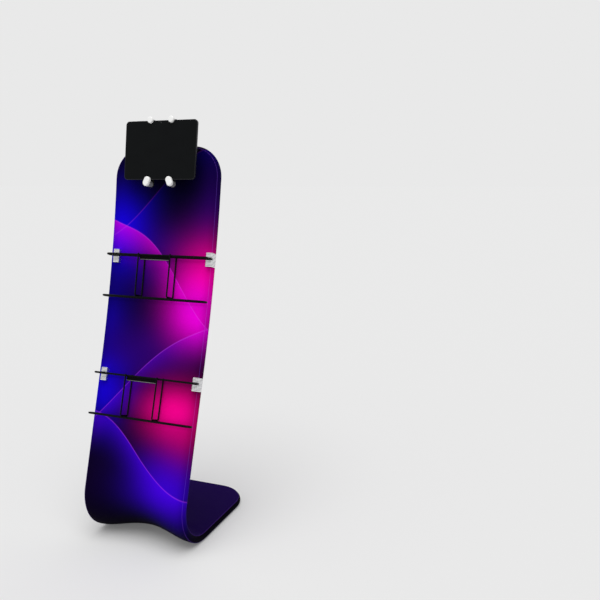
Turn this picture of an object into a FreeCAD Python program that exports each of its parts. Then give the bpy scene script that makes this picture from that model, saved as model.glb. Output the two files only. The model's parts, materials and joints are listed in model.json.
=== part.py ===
import FreeCAD, Part
import math
import os

Vector = FreeCAD.Vector

# Panel and base, millimetres. The origin is on the floor, in the middle of the base's straight run.
panel_width = 375.0
edge_thickness = 25.0
cover_wall = 1.2
cover_gap = 0.3
lean_angle = 20.0
bend_radius = 121.0
base_run = 324.0
rear_corner_radius = 99.0
rear_leg = 10.0
straight_run = 413.0
bow_run = 583.0
bow_radius = 4077.0
hoop_leg = 8.0
top_corner_radius = 82.0

# The cloth is drawn in between the side tubes where it turns from panel to base
saddle_depth = 34.0
saddle_reach = 130.0
saddle_straight_sections = 6
saddle_bend_sections = 15
saddle_points = 11

# Frame inside the cover
tube_wall = 1.5
seam_turn = 45.0
lower_joint_run = 150.0
upper_joint_run = 900.0
base_joint_run = 110.0
spigot_length = 80.0
spigot_gap = 0.1
spigot_wall = 2.0
joint_screw_diameter = 4.0
joint_screw_inset = 20.0
bar_diameter = 16.0
bar_wall = 1.5
bar_plug_length = 22.0
bar_gap = 0.2
bar_screw_diameter = 5.0
bar_screw_head = 8.5
bar_screw_head_height = 3.0
bar_screw_length = 12.0
base_bar_run = 190.0
holder_bar_drop = 74.0
hole_gap = 0.1
seat_gap = 0.1

# Zip that closes the cover, under the rear of the base
zip_length = 220.0
zip_width = 7.0
zip_thickness = 1.0
zip_run = 285.0

# Literature racks
rack_offset = 3.0
rack_heights = {"lower": 375.0, "upper": 757.8}
rack_drop = 132.0
ring_wire = 6.2
ring_front = 46.5
ring_rear = 21.5
ring_corner_radius = 12.0
upper_ring_inset = 6.0
lower_ring_inset = 2.5
hoop_wire = 4.8
hoop_spacing = 114.0
hoop_rise = 1.5
weld_gap = 0.1
strip_drop = 10.8
strip_bead = 3.2
strip_thickness = 1.4

# Clips that hold each upper ring. The right one hugs the panel's edge and the left one stands in from it
clip_insets = {"left": 19.5, "right": -1.5}
clip_width = 21.5
clip_height = 42.0
clip_drop = 2.5
clip_front = 25.0
clip_cloth_gap = 0.3
clip_slot_gap = 0.2
clip_edge_round = 3.0
clip_rib_depth = 0.8
clip_rib_pitch = 4.0
clip_screw_drop = 14.0
clip_screw_diameter = 4.0
clip_screw_head = 7.5
clip_screw_head_height = 3.0
clip_screw_end = 4.2

# Tablet and its holder
tablet_width = 250.6
tablet_height = 174.1
tablet_thickness = 7.5
tablet_corner_radius = 11.0
tablet_edge_round = 2.4
glass_thickness = 0.8
glass_edge = 1.6
glass_recess = 0.1
tablet_drop = 9.0
tablet_front = 48.7
holder_gap = 0.3
plate_thickness = 3.0
pad_width = 12.0
pad_length = 120.0
pad_thickness = 10.0
web_height = 64.0
web_rise = -30.0
web_hole = 20.0
strap_width = 18.0
bracket_width = 90.0
bracket_height = 92.0
bracket_rise = -41.0
bracket_corner_radius = 8.0
bracket_screw_spacing = 60.0
bracket_screw_end = 5.0
post_diameter = 14.0
post_spacing = 44.0
screw_diameter = 5.0
screw_head = 9.5
screw_head_depth = 2.2
post_screw_length = 5.2
lower_stem_spacing = 80.0
upper_stem_spacing = 73.0
lower_stem_diameter = 19.0
upper_stem_diameter = 7.0
stem_tip_diameter = 5.0
cap_gap = 0.6
cap_socket = 6.0
lower_cap_width = 20.0
lower_cap_length = 29.5
lower_cap_depth = 9.0
lower_cap_lift = 4.0
lower_cap_turn = 24.0
lower_cap_round = 4.0
upper_cap_diameter = 19.0
upper_cap_depth = 8.0
upper_cap_drop = 2.5
upper_cap_round = 3.5

# Sizes that follow from those above
half_thickness = edge_thickness / 2
tube_centre_x = panel_width / 2 - half_thickness
cover_inside = half_thickness - cover_wall
tube_radius = cover_inside - cover_gap
tube_bore = tube_radius - tube_wall
bend_y = -base_run / 2
bend_z = bend_radius + half_thickness
top_lean = lean_angle - math.degrees(bow_run / bow_radius)
top_plane_run = hoop_leg + top_corner_radius
top_start = straight_run + bow_run
panel_run = top_start + top_plane_run
sides = {"left": -1, "right": 1}


def direction(lean):
    """Unit vector that climbs a panel of this lean."""
    angle = math.radians(lean)
    return Vector(0, math.sin(angle), math.cos(angle))


def outward(lean):
    """Unit vector out of the front of a panel of this lean."""
    angle = math.radians(lean)
    return Vector(0, -math.cos(angle), math.sin(angle))


def bend_centre():
    return Vector(0, bend_y, bend_z)


def panel_start():
    return bend_centre() + outward(lean_angle) * bend_radius


def bow_start():
    return panel_start() + direction(lean_angle) * straight_run


def bow_centre():
    return bow_start() + outward(lean_angle) * bow_radius


def bow_end():
    return bow_centre() - outward(top_lean) * bow_radius


def panel_place(run):
    """Placement of the local frame at a run up the panel: x across, -y out of the front, z up."""
    if run <= straight_run:
        point = panel_start() + direction(lean_angle) * run
        lean = lean_angle
    elif run <= top_start:
        lean = lean_angle - math.degrees((run - straight_run) / bow_radius)
        point = bow_centre() - outward(lean) * bow_radius
    else:
        lean = top_lean
        point = bow_end() + direction(top_lean) * (run - top_start)
    return FreeCAD.Placement(point, FreeCAD.Rotation(Vector(1, 0, 0), -lean))


def base_place(run):
    """Placement of the local frame at a run back along the base, with its z pointing to the rear."""
    point = Vector(0, bend_y + run, half_thickness)
    return FreeCAD.Placement(point, FreeCAD.Rotation(Vector(1, 0, 0), -90))


def placed(shape, placement):
    result = shape.copy()
    result.Placement = placement.multiply(result.Placement)
    return result


def fused(shapes):
    first = shapes[0]
    result = first.fuse(shapes[1:]) if len(shapes) > 1 else first
    return result.removeSplitter()


def rod(start, end, radius):
    axis = end - start
    return Part.makeCylinder(radius, axis.Length, start, axis)


def line(start, end):
    return Part.LineSegment(start, end).toShape()


def arc(start, middle, end):
    return Part.Arc(start, middle, end).toShape()


def pipe(path_edges, radius):
    """Round bar of this radius along a chain of tangent lines and arcs."""
    path = Part.Wire(path_edges)
    first = path_edges[0]
    start = first.valueAt(first.FirstParameter)
    tangent = first.tangentAt(first.FirstParameter)
    circle = Part.Wire([Part.Circle(start, tangent, radius).toShape()])
    circle.rotate(start, tangent, seam_turn)
    return path.makePipeShell([circle], True, False)


def hollow_pipe(path_edges, outer, inner):
    return pipe(path_edges, outer).cut(pipe(path_edges, inner))


def rounded_outline(width, height, radius, z=0.0):
    """Closed wire of a rounded rectangle in the local x-y plane, centred."""
    x = width / 2
    y = height / 2
    diagonal = radius * (1 - math.sqrt(0.5))
    edges = [
        line(Vector(-x + radius, -y, z), Vector(x - radius, -y, z)),
        arc(Vector(x - radius, -y, z), Vector(x - diagonal, -y + diagonal, z), Vector(x, -y + radius, z)),
        line(Vector(x, -y + radius, z), Vector(x, y - radius, z)),
        arc(Vector(x, y - radius, z), Vector(x - diagonal, y - diagonal, z), Vector(x - radius, y, z)),
        line(Vector(x - radius, y, z), Vector(-x + radius, y, z)),
        arc(Vector(-x + radius, y, z), Vector(-x + diagonal, y - diagonal, z), Vector(-x, y - radius, z)),
        line(Vector(-x, y - radius, z), Vector(-x, -y + radius, z)),
        arc(Vector(-x, -y + radius, z), Vector(-x + diagonal, -y + diagonal, z), Vector(-x + radius, -y, z)),
    ]
    return Part.Wire(edges)


def upright_plate(width, height, radius, front, back):
    """Rounded plate in the local x-z plane between two depths in front of the mid surface."""
    wire = rounded_outline(width, height, radius)
    plate = Part.Face(wire).extrude(Vector(0, 0, front - back))
    turn = FreeCAD.Placement(Vector(0, -back, 0), FreeCAD.Rotation(Vector(1, 0, 0), 90))
    return placed(plate, turn)


# Paths of the side tubes

def side_point(side, point):
    return Vector(side * tube_centre_x, point.y, point.z)


def panel_path(side, start, end):
    """Centreline of a side tube between two runs up the panel, both past the bend."""
    low = side_point(side, panel_place(start).Base)
    high = side_point(side, panel_place(end).Base)
    if end <= straight_run:
        return [line(low, high)]
    bow_low = max(start, straight_run)
    knee = side_point(side, panel_place(bow_low).Base)
    middle = side_point(side, panel_place((bow_low + end) / 2).Base)
    curve = [arc(knee, middle, high)]
    return curve if start >= straight_run else [line(low, knee)] + curve


def base_path(side, start, end):
    return [line(side_point(side, base_place(start).Base), side_point(side, base_place(end).Base))]


def lower_tube_path(side):
    half_turn = math.radians((90 + lean_angle) / 2)
    centre = bend_centre()
    middle = centre + Vector(0, -math.sin(half_turn), -math.cos(half_turn)) * bend_radius
    floor_end = side_point(side, Vector(0, bend_y, half_thickness))
    rear = side_point(side, Vector(0, bend_y + base_joint_run, half_thickness))
    start = side_point(side, panel_start())
    joint = side_point(side, panel_place(lower_joint_run).Base)
    return [line(rear, floor_end), arc(floor_end, side_point(side, middle), start), line(start, joint)]


def end_loop_path(leg, corner):
    """U-shaped path in the local x-z plane: up the left leg, over two corners and down the right leg."""
    x = tube_centre_x
    flat = corner * (1 - math.sqrt(0.5))
    return [
        line(Vector(-x, 0, 0), Vector(-x, 0, leg)),
        arc(Vector(-x, 0, leg), Vector(-x + flat, 0, leg + corner - flat), Vector(-x + corner, 0, leg + corner)),
        line(Vector(-x + corner, 0, leg + corner), Vector(x - corner, 0, leg + corner)),
        arc(Vector(x - corner, 0, leg + corner), Vector(x - flat, 0, leg + corner - flat), Vector(x, 0, leg)),
        line(Vector(x, 0, leg), Vector(x, 0, 0)),
    ]


# Cloth cover: a sheet of this radius all round the frame's middle surface

def stadium(radius):
    x = tube_centre_x
    edges = [
        line(Vector(-x, -radius, 0), Vector(x, -radius, 0)),
        arc(Vector(x, -radius, 0), Vector(x + radius, 0, 0), Vector(x, radius, 0)),
        line(Vector(x, radius, 0), Vector(-x, radius, 0)),
        arc(Vector(-x, radius, 0), Vector(-x - radius, 0, 0), Vector(-x, -radius, 0)),
    ]
    return Part.Face(Part.Wire(edges))


def end_skin(radius, leg, corner):
    """Flat end of the cover with two round corners, rising from the local origin."""
    path = end_loop_path(leg, corner)
    close = line(Vector(tube_centre_x, 0, 0), Vector(-tube_centre_x, 0, 0))
    sheet = Part.Face(Part.Wire(path + [close]))
    slab = placed(sheet, FreeCAD.Placement(Vector(0, -radius, 0), FreeCAD.Rotation()))
    slab = slab.extrude(Vector(0, 2 * radius, 0))
    return fused([slab, pipe(path, radius)])


def bend_length():
    return bend_radius * math.radians(90 + lean_angle)


def saddle_station(along):
    """Point, outward normal and depth of the saddle at a distance along the tubes from the base."""
    share = along / (bend_length() + 2 * saddle_reach)
    depth = saddle_depth * math.sin(math.pi * share) ** 2
    if along <= saddle_reach:
        point = Vector(0, bend_y + saddle_reach - along, half_thickness)
        return point, Vector(0, 0, -1), depth
    climb = along - saddle_reach - bend_length()
    if climb >= 0:
        point = panel_start() + direction(lean_angle) * climb
        return point, outward(lean_angle), depth
    angle = (along - saddle_reach) / bend_radius
    normal = Vector(0, -math.sin(angle), -math.cos(angle))
    return bend_centre() + normal * bend_radius, normal, depth


def saddle_section(radius, along):
    point, normal, depth = saddle_station(along)
    across = Vector(1, 0, 0)
    end = across * tube_centre_x

    def skin(offset):
        points = []
        for index in range(saddle_points):
            place = 1 - 2 * index / (saddle_points - 1)
            sag = depth * (1 - place * place) ** 2
            points.append(point + end * place + normal * (offset - sag))
        curve = Part.BSplineCurve()
        curve.interpolate(points)
        return curve.toShape()

    right = arc(point + end - normal * radius, point + end + across * radius, point + end + normal * radius)
    left = arc(point - end + normal * radius, point - end - across * radius, point - end - normal * radius)
    return Part.Wire([skin(radius), left, skin(-radius).reversed(), right])


def saddle_loft(radius, start, end, count):
    stations = [start + (end - start) * index / (count - 1) for index in range(count)]
    return Part.makeLoft([saddle_section(radius, along) for along in stations], True, False)


def saddle_skins(radius):
    """The saddle in three lofts, so that each follows its own straight run or bend closely."""
    first = saddle_reach
    last = saddle_reach + bend_length()
    return [
        saddle_loft(radius, 0, first, saddle_straight_sections),
        saddle_loft(radius, first, last, saddle_bend_sections),
        saddle_loft(radius, last, last + saddle_reach, saddle_straight_sections),
    ]


def skin_solid(radius):
    """Everything within this distance of the frame's middle surface, saddle included."""
    section = stadium(radius)
    base_flat = base_run - rear_corner_radius
    base = placed(section, base_place(saddle_reach)).extrude(Vector(0, base_flat - rear_leg - saddle_reach, 0))
    rear = placed(end_skin(radius, rear_leg, rear_corner_radius), base_place(base_flat - rear_leg))
    low = panel_place(saddle_reach)
    straight = placed(section, low).extrude(direction(lean_angle) * (straight_run - saddle_reach))
    bow = placed(section, panel_place(straight_run))
    bow = bow.revolve(bow_centre(), Vector(1, 0, 0), lean_angle - top_lean)
    top = placed(end_skin(radius, hoop_leg, top_corner_radius), panel_place(top_start))
    return fused([rear, base] + saddle_skins(radius) + [straight, bow, top])


# Frame of steel tube inside the cover

def place_edges(edges, placement):
    return [placed(edge, placement) for edge in edges]


def top_hoop_path():
    left = panel_path(-1, upper_joint_run, top_start)
    loop = place_edges(end_loop_path(hoop_leg, top_corner_radius), panel_place(top_start))
    right = panel_path(1, upper_joint_run, top_start)
    return left + loop + right


def base_hoop_path():
    base_flat = base_run - rear_corner_radius
    left = base_path(-1, base_joint_run, base_flat - rear_leg)
    loop = place_edges(end_loop_path(rear_leg, rear_corner_radius), base_place(base_flat - rear_leg))
    right = base_path(1, base_joint_run, base_flat - rear_leg)
    return left + loop + right


def frame_paths():
    paths = {"top_hoop_tube": top_hoop_path(), "base_hoop_tube": base_hoop_path()}
    for name, side in sides.items():
        paths[name + "_upper_upright"] = panel_path(side, lower_joint_run, upper_joint_run)
        paths[name + "_lower_bend_tube"] = lower_tube_path(side)
    return paths


def joint_runs():
    """Each tube joint: its name, its path function and its run."""
    return [
        ("upper", panel_path, upper_joint_run),
        ("lower", panel_path, lower_joint_run),
        ("base", base_path, base_joint_run),
    ]


def spigots():
    radius = tube_bore - spigot_gap
    result = {}
    for side_name, side in sides.items():
        for joint_name, path, run in joint_runs():
            edges = path(side, run - spigot_length / 2, run + spigot_length / 2)
            result[side_name + "_" + joint_name + "_spigot"] = hollow_pipe(edges, radius, radius - spigot_wall)
    return result


def joint_screw_shapes(radius):
    """Set screws that lock the spigots, on the side of each tube that faces the other tube."""
    screws = []
    for side in sides.values():
        for name, path, run in joint_runs():
            for step in (-joint_screw_inset, joint_screw_inset):
                edge = path(side, run + step, run + spigot_length)[0]
                point = edge.valueAt(edge.FirstParameter)
                start = point - Vector(side * (tube_radius - seat_gap), 0, 0)
                end = point - Vector(side * (tube_bore - spigot_gap - spigot_wall), 0, 0)
                screws.append(rod(start, end, radius))
    return screws


def holder_place():
    return panel_place(panel_run)


def bar_places():
    """Each cross bar: its frame, in which the bar runs along x."""
    drop = FreeCAD.Placement(Vector(0, 0, -holder_bar_drop), FreeCAD.Rotation())
    places = {"holder": holder_place().multiply(drop), "base": base_place(base_bar_run)}
    drop = FreeCAD.Placement(Vector(0, 0, -clip_screw_drop), FreeCAD.Rotation())
    for name, placement in clip_places().items():
        places[name + "_rack"] = placement.multiply(drop)
    return places


def along_x(placement, start, end, radius):
    return placed(rod(Vector(start, 0, 0), Vector(end, 0, 0), radius), placement)


def cross_bars():
    """Bars with solid plugs at both ends, coped to the side tubes."""
    limits = [pipe(path, tube_radius + bar_gap) for path in frame_paths().values()]
    plug = tube_centre_x - tube_radius - bar_plug_length
    bars = {}
    for name, placement in bar_places().items():
        bar = along_x(placement, -tube_centre_x, tube_centre_x, bar_diameter / 2)
        bar = bar.cut(along_x(placement, -plug, plug, bar_diameter / 2 - bar_wall))
        bars[name + "_cross_bar"] = largest(bar.cut(limits))
    return bars


def largest(shape):
    return max(shape.Solids, key=lambda solid: solid.Volume)


def bar_screw_seat():
    """Distance from the tube's axis to the flat of a head that rests in the bore."""
    return math.sqrt(tube_bore ** 2 - (bar_screw_head / 2) ** 2) - seat_gap


def bar_screw_shapes(gap):
    screws = []
    seat = tube_centre_x - bar_screw_seat()
    for placement in bar_places().values():
        for side in sides.values():
            shank_end = side * (seat - bar_screw_length)
            shank = along_x(placement, side * (seat + 1), shank_end, bar_screw_diameter / 2 + gap)
            top = side * (seat + bar_screw_head_height)
            head = along_x(placement, side * seat, top, bar_screw_head / 2 + gap)
            screws.append(shank.fuse(head).removeSplitter())
    return screws


def bar_screw_access():
    """Holes in the outer wall of the tubes, through which the screws go in."""
    holes = []
    for placement in bar_places().values():
        for side in sides.values():
            start = side * tube_centre_x
            end = side * (tube_centre_x + 2 * tube_radius)
            holes.append(along_x(placement, start, end, bar_screw_head / 2 + 2 * hole_gap))
    return holes


# Screws that come in from the front

def from_front(placement, x, z, front, back, radius):
    """Round bar across the panel between two distances in front of the mid surface."""
    return placed(rod(Vector(x, -front, z), Vector(x, -back, z), radius), placement)


def clip_span(side_name):
    """Distances from the panel's middle to the inner and outer faces of a clip."""
    outer = panel_width / 2 - clip_insets[side_name]
    return outer - clip_width, outer


def clip_screw_shapes(gap):
    """Screws through the clips and the cloth, into the right tube and the left ends of the cross bars."""
    screws = []
    radius = clip_screw_diameter / 2 + gap
    front = clip_front - clip_rib_depth - seat_gap
    head_back = front - clip_screw_head_height - gap
    for placement in clip_places().values():
        for side_name, side in sides.items():
            x = side * sum(clip_span(side_name)) / 2
            z = -clip_screw_drop
            shank = from_front(placement, x, z, front - 1, clip_screw_end - gap, radius)
            head = from_front(placement, x, z, front + gap, head_back, clip_screw_head / 2 + gap)
            screws.append(shank.fuse(head).removeSplitter())
    return screws


def sunk_screw(placement, x, z, front, length, way, gap):
    """Countersunk screw whose head is flush at a depth and whose shank points along way."""
    head = screw_head / 2 + gap
    shank = screw_diameter / 2 + gap
    axis = Vector(0, way, 0)
    start = Vector(x, -front, z)
    depth = screw_head_depth * (head - shank) / (screw_head / 2 - screw_diameter / 2)
    cone = Part.makeCone(head, shank, depth, start, axis)
    stem = Part.makeCylinder(shank, length + gap, start, axis)
    return placed(cone.fuse(stem).removeSplitter(), placement)


def bracket_back():
    return half_thickness + clip_cloth_gap


def bracket_front():
    return bracket_back() + plate_thickness


def plate_front():
    return tablet_front - tablet_thickness - holder_gap - pad_thickness - seat_gap


def plate_back():
    return plate_front() - plate_thickness


def bracket_screw_shapes(gap):
    screws = []
    length = bracket_front() - seat_gap - bracket_screw_end
    for z in (-holder_bar_drop, 0):
        for x in (-bracket_screw_spacing / 2, bracket_screw_spacing / 2):
            screws.append(sunk_screw(holder_place(), x, z, bracket_front() - seat_gap, length, 1, gap))
    return screws


def post_points():
    return [(-post_spacing / 2, web_rise), (post_spacing / 2, web_rise)]


def post_screw_shapes(gap):
    screws = []
    for x, z in post_points():
        front = plate_front() - seat_gap
        back = bracket_back() + seat_gap
        screws.append(sunk_screw(holder_place(), x, z, front, post_screw_length, 1, gap))
        screws.append(sunk_screw(holder_place(), x, z, back, post_screw_length, -1, gap))
    return screws


# Frame parts with their holes

def frame_parts():
    bars = cross_bars()
    inner = spigots()
    joint_holes = joint_screw_shapes(joint_screw_diameter / 2 + hole_gap)
    bar_holes = bar_screw_shapes(hole_gap)
    access = bar_screw_access()
    bracket_holes = bracket_screw_shapes(hole_gap)
    clip_holes = clip_screw_shapes(hole_gap)
    parts = {}
    for name, path in frame_paths().items():
        tube = hollow_pipe(path, tube_radius, tube_bore)
        parts[name] = tube.cut(joint_holes + bar_holes + access + bracket_holes + clip_holes)
    for name, spigot in inner.items():
        parts[name] = spigot.cut(joint_holes)
    for name, bar in bars.items():
        parts[name] = bar.cut(bar_holes + bracket_holes + clip_holes)
    parts["joint_screws"] = Part.makeCompound(joint_screw_shapes(joint_screw_diameter / 2))
    parts["bar_screws"] = Part.makeCompound(bar_screw_shapes(0))
    return parts


# Cover and zip

def zip_place():
    return FreeCAD.Placement(Vector(0, bend_y + zip_run, zip_thickness / 2 + seat_gap), FreeCAD.Rotation())


def zip_strip(gap):
    width = zip_length + 2 * gap
    depth = zip_width + 2 * gap
    radius = zip_width / 3
    height = zip_thickness + 4 * gap
    strip = Part.Face(rounded_outline(width, depth, radius, -height / 2)).extrude(Vector(0, 0, height))
    return placed(strip, zip_place())


def fabric_cover():
    skin = skin_solid(half_thickness).cut(skin_solid(cover_inside))
    holes = clip_screw_shapes(hole_gap) + bracket_screw_shapes(hole_gap)
    return skin.cut(holes + [zip_strip(2 * hole_gap)])


# Literature racks

def rack_places():
    """Frame of each rack: square to the panel halfway between its rings."""
    return {name: panel_place(run - rack_drop / 2) for name, run in rack_heights.items()}


def clip_places():
    """Frame of each pair of clips: square to the panel at the upper ring's height."""
    return {name: panel_place(run) for name, run in rack_heights.items()}


def ring(placement, height, length):
    depth = ring_front - ring_rear
    outline = rounded_outline(length, depth, ring_corner_radius)
    centre = Vector(rack_offset, -(ring_front + ring_rear) / 2, height)
    path = place_edges(outline.OrderedEdges, FreeCAD.Placement(centre, FreeCAD.Rotation()))
    return placed(closed_pipe(path, ring_wire / 2), placement)


def closed_pipe(edges, radius):
    """Round bar round a closed chain, joined from one piece per edge."""
    pieces = []
    for edge in edges:
        start = edge.valueAt(edge.FirstParameter)
        tangent = edge.tangentAt(edge.FirstParameter)
        circle = Part.Wire([Part.Circle(start, tangent, radius).toShape()])
        pieces.append(Part.Wire([edge]).makePipeShell([circle], True, False))
    return fused(pieces)


def hoop(placement, side):
    """Bent wire that joins the two rings: down the back, forwards over the lower ring and up the front."""
    reach = ring_wire / 2 + weld_gap + hoop_wire / 2
    back = -(ring_rear - reach)
    front = -(ring_front + reach)
    low = -rack_drop / 2 + reach
    top = rack_drop / 2 + ring_wire / 2 + hoop_rise
    radius = reach
    flat = radius * (1 - math.sqrt(0.5))
    x = rack_offset + side * hoop_spacing / 2
    points = [
        Vector(x, back, top),
        Vector(x, back, low + radius),
        Vector(x, back - flat, low + flat),
        Vector(x, back - radius, low),
        Vector(x, front + radius, low),
        Vector(x, front + flat, low + flat),
        Vector(x, front, low + radius),
        Vector(x, front, top),
    ]
    edges = [
        line(points[0], points[1]),
        arc(points[1], points[2], points[3]),
        line(points[3], points[4]),
        arc(points[4], points[5], points[6]),
        line(points[6], points[7]),
    ]
    return placed(pipe(edges, hoop_wire / 2), placement)


def front_strip(placement):
    """Flat label strip with a thicker lower edge, between the front legs of the hoops."""
    width = hoop_spacing - hoop_wire - 2 * weld_gap
    top = rack_drop / 2 - ring_wire / 2 - weld_gap
    front = ring_front + strip_thickness / 2
    sheet = Part.makeBox(width, strip_thickness, strip_drop, Vector(rack_offset - width / 2, -front, top - strip_drop))
    low = top - strip_drop
    bead = rod(
        Vector(rack_offset - width / 2, -ring_front, low),
        Vector(rack_offset + width / 2, -ring_front, low),
        strip_bead / 2,
    )
    return placed(fused([sheet, bead]), placement)


def side_box(side, near, far, front, back, low, height):
    """Box beside the panel's middle: near and far are distances across, front and back are depths."""
    corner = Vector(min(side * near, side * far), -front, low)
    return Part.makeBox(far - near, front - back, height, corner)


def clip_ribs(side, inner, outer, low):
    """Shallow grooves across the clip's face."""
    grooves = []
    count = int(clip_height / clip_rib_pitch)
    for index in range(1, count):
        height = low + index * clip_rib_pitch
        groove = rod(
            Vector(side * (inner - 1), -clip_front, height),
            Vector(side * (outer + 1), -clip_front, height),
            clip_rib_depth,
        )
        grooves.append(groove)
    return grooves


def clip(placement, rack_place, side_name):
    """Block with a slot for the ring, whose back follows the panel's face and round edge."""
    side = sides[side_name]
    back = half_thickness + clip_cloth_gap
    inner, outer = clip_span(side_name)
    low = -clip_drop - clip_height / 2
    hugs_edge = outer > panel_width / 2
    body = side_box(side, inner, outer, clip_front, 0 if hugs_edge else back, low, clip_height)
    corners = [
        edge for edge in body.Edges
        if abs(edge.CenterOfMass.y + clip_front) < 0.01 and abs(edge.CenterOfMass.z - low - clip_height / 2) < 0.01
    ]
    body = body.makeFillet(clip_edge_round, corners)
    if hugs_edge:
        base = Vector(side * tube_centre_x, 0, low - 1)
        body = body.cut(rod(base, base + Vector(0, 0, clip_height + 2), back))
        body = body.cut(side_box(side, inner - 1, tube_centre_x, back, -1, low - 1, clip_height + 2))
    body = placed(body.cut(clip_ribs(side, inner, outer, low)), placement)
    wire = rack_place.multVec(Vector(0, -ring_rear, rack_drop / 2))
    across = Vector(panel_width, 0, 0)
    slot_radius = ring_wire / 2 + clip_slot_gap
    slot = rod(wire - across, wire + across, slot_radius)
    mouth = Part.makeBox(
        2 * across.x, ring_front - ring_rear, 2 * slot_radius, Vector(-across.x, -ring_front, -slot_radius)
    )
    rise = FreeCAD.Placement(Vector(0, 0, rack_drop / 2), FreeCAD.Rotation())
    mouth = placed(placed(mouth, rise), rack_place)
    return body.cut([slot, mouth])


def rack_parts():
    parts = {}
    for name, placement in rack_places().items():
        parts[name + "_rack_top_ring"] = ring(placement, rack_drop / 2, panel_width - 2 * upper_ring_inset)
        parts[name + "_rack_bottom_ring"] = ring(placement, -rack_drop / 2, panel_width - 2 * lower_ring_inset)
        parts[name + "_rack_label_strip"] = front_strip(placement)
        for side_name, side in sides.items():
            parts[name + "_rack_" + side_name + "_hoop"] = hoop(placement, side)
            body = clip(clip_places()[name], placement, side_name).cut(clip_screw_shapes(hole_gap))
            parts[name + "_rack_" + side_name + "_clip"] = body
    parts["clip_screws"] = Part.makeCompound(clip_screw_shapes(0))
    return parts


# Tablet and holder, in the frame of the top tube

def tablet_plate(inset, back, front, radius):
    plate = upright_plate(tablet_width - 2 * inset, tablet_height - 2 * inset, radius, front, back)
    lift = FreeCAD.Placement(Vector(0, 0, -tablet_drop), FreeCAD.Rotation())
    return placed(plate, lift)


def tablet_case():
    body = tablet_plate(0, tablet_front - tablet_thickness, tablet_front, tablet_corner_radius)
    rims = [edge for edge in body.Edges if abs(edge.CenterOfMass.y + tablet_front - tablet_thickness) < 0.01]
    body = body.makeFillet(tablet_edge_round, rims)
    floor = tablet_front - glass_recess - glass_thickness
    pocket = tablet_plate(glass_edge, floor - seat_gap, tablet_front + 1, tablet_corner_radius - glass_edge)
    return placed(body.cut(pocket), holder_place())


def tablet_glass():
    inset = glass_edge + seat_gap
    front = tablet_front - glass_recess
    glass = tablet_plate(inset, front - glass_thickness, front, tablet_corner_radius - inset)
    return placed(glass, holder_place())


def stems():
    """Each stem: its name, x, height above the top tube, diameter and whether it is a lower one."""
    reach = tablet_height / 2 + holder_gap
    low = -tablet_drop - reach - lower_stem_diameter / 2
    high = -tablet_drop + reach + upper_stem_diameter / 2
    return [
        ("lower_left", -lower_stem_spacing / 2, low, lower_stem_diameter, True),
        ("lower_right", lower_stem_spacing / 2, low, lower_stem_diameter, True),
        ("upper_left", -upper_stem_spacing / 2, high, upper_stem_diameter, False),
        ("upper_right", upper_stem_spacing / 2, high, upper_stem_diameter, False),
    ]


def stem(x, z, diameter):
    """Round stem with a narrow tip, on which the knob is pressed."""
    front = tablet_front + cap_gap - seat_gap
    body = from_front(holder_place(), x, z, front, plate_front() + seat_gap, diameter / 2)
    tip_front = tablet_front + cap_gap + cap_socket
    tip = from_front(holder_place(), x, z, tip_front, front - 1, stem_tip_diameter / 2)
    return body.fuse(tip).removeSplitter()


def lower_cap(x, z):
    """Oval knob, leaning so that its top points to the tablet's middle."""
    body = upright_plate(lower_cap_width, lower_cap_length, lower_cap_width / 2 - 0.01, lower_cap_depth, 0)
    fronts = [edge for edge in body.Edges if abs(edge.CenterOfMass.y + lower_cap_depth) < 0.01]
    body = body.makeFillet(lower_cap_round, fronts)
    turn = lower_cap_turn if x < 0 else -lower_cap_turn
    centre = Vector(x, -tablet_front - cap_gap, z + lower_cap_lift)
    place = FreeCAD.Placement(centre, FreeCAD.Rotation(Vector(0, 1, 0), turn))
    return placed(placed(body, place), holder_place())


def upper_cap(x, z):
    height = z - upper_cap_drop
    start = Vector(x, -tablet_front - cap_gap, height)
    body = rod(start, start - Vector(0, upper_cap_depth, 0), upper_cap_diameter / 2)
    fronts = [edge for edge in body.Edges if abs(edge.CenterOfMass.y - start.y + upper_cap_depth) < 0.01]
    return placed(body.makeFillet(upper_cap_round, fronts), holder_place())


def holder_plate():
    """Two upright straps that carry the stems, joined by a web."""
    front = plate_front()
    back = plate_back()
    pieces = []
    for side in sides.values():
        low = [entry for entry in stems() if entry[4] and entry[1] * side > 0][0]
        high = [entry for entry in stems() if not entry[4] and entry[1] * side > 0][0]
        bottom = low[2] - low[3] / 2
        top = high[2] + high[3] / 2
        strap = upright_plate(strap_width, top - bottom, strap_width / 2 - 0.5, front, back)
        place = FreeCAD.Placement(Vector(strap_x(side), 0, (top + bottom) / 2), FreeCAD.Rotation())
        pieces.append(placed(strap, place))
    web = upright_plate(lower_stem_spacing, web_height, bracket_corner_radius, front, back)
    hole = from_front(FreeCAD.Placement(), 0, 0, front + 1, back - 1, web_hole / 2)
    web = web.cut(hole)
    pieces.append(placed(web, FreeCAD.Placement(Vector(0, 0, web_rise), FreeCAD.Rotation())))
    return placed(fused(pieces), holder_place()).cut(post_screw_shapes(hole_gap))


def strap_x(side):
    return side * (lower_stem_spacing + upper_stem_spacing) / 4


def holder_pad(side):
    """Rubber strip between a strap and the tablet's back."""
    front = tablet_front - tablet_thickness - holder_gap
    pad = upright_plate(pad_width, pad_length, pad_width / 3, front, front - pad_thickness)
    place = FreeCAD.Placement(Vector(strap_x(side), 0, -tablet_drop), FreeCAD.Rotation())
    return placed(placed(pad, place), holder_place())


def holder_bracket():
    plate = upright_plate(
        bracket_width, bracket_height, bracket_corner_radius, bracket_front(), bracket_back()
    )
    plate = placed(plate, FreeCAD.Placement(Vector(0, 0, bracket_rise), FreeCAD.Rotation()))
    return placed(plate, holder_place()).cut(bracket_screw_shapes(hole_gap) + post_screw_shapes(hole_gap))


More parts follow.
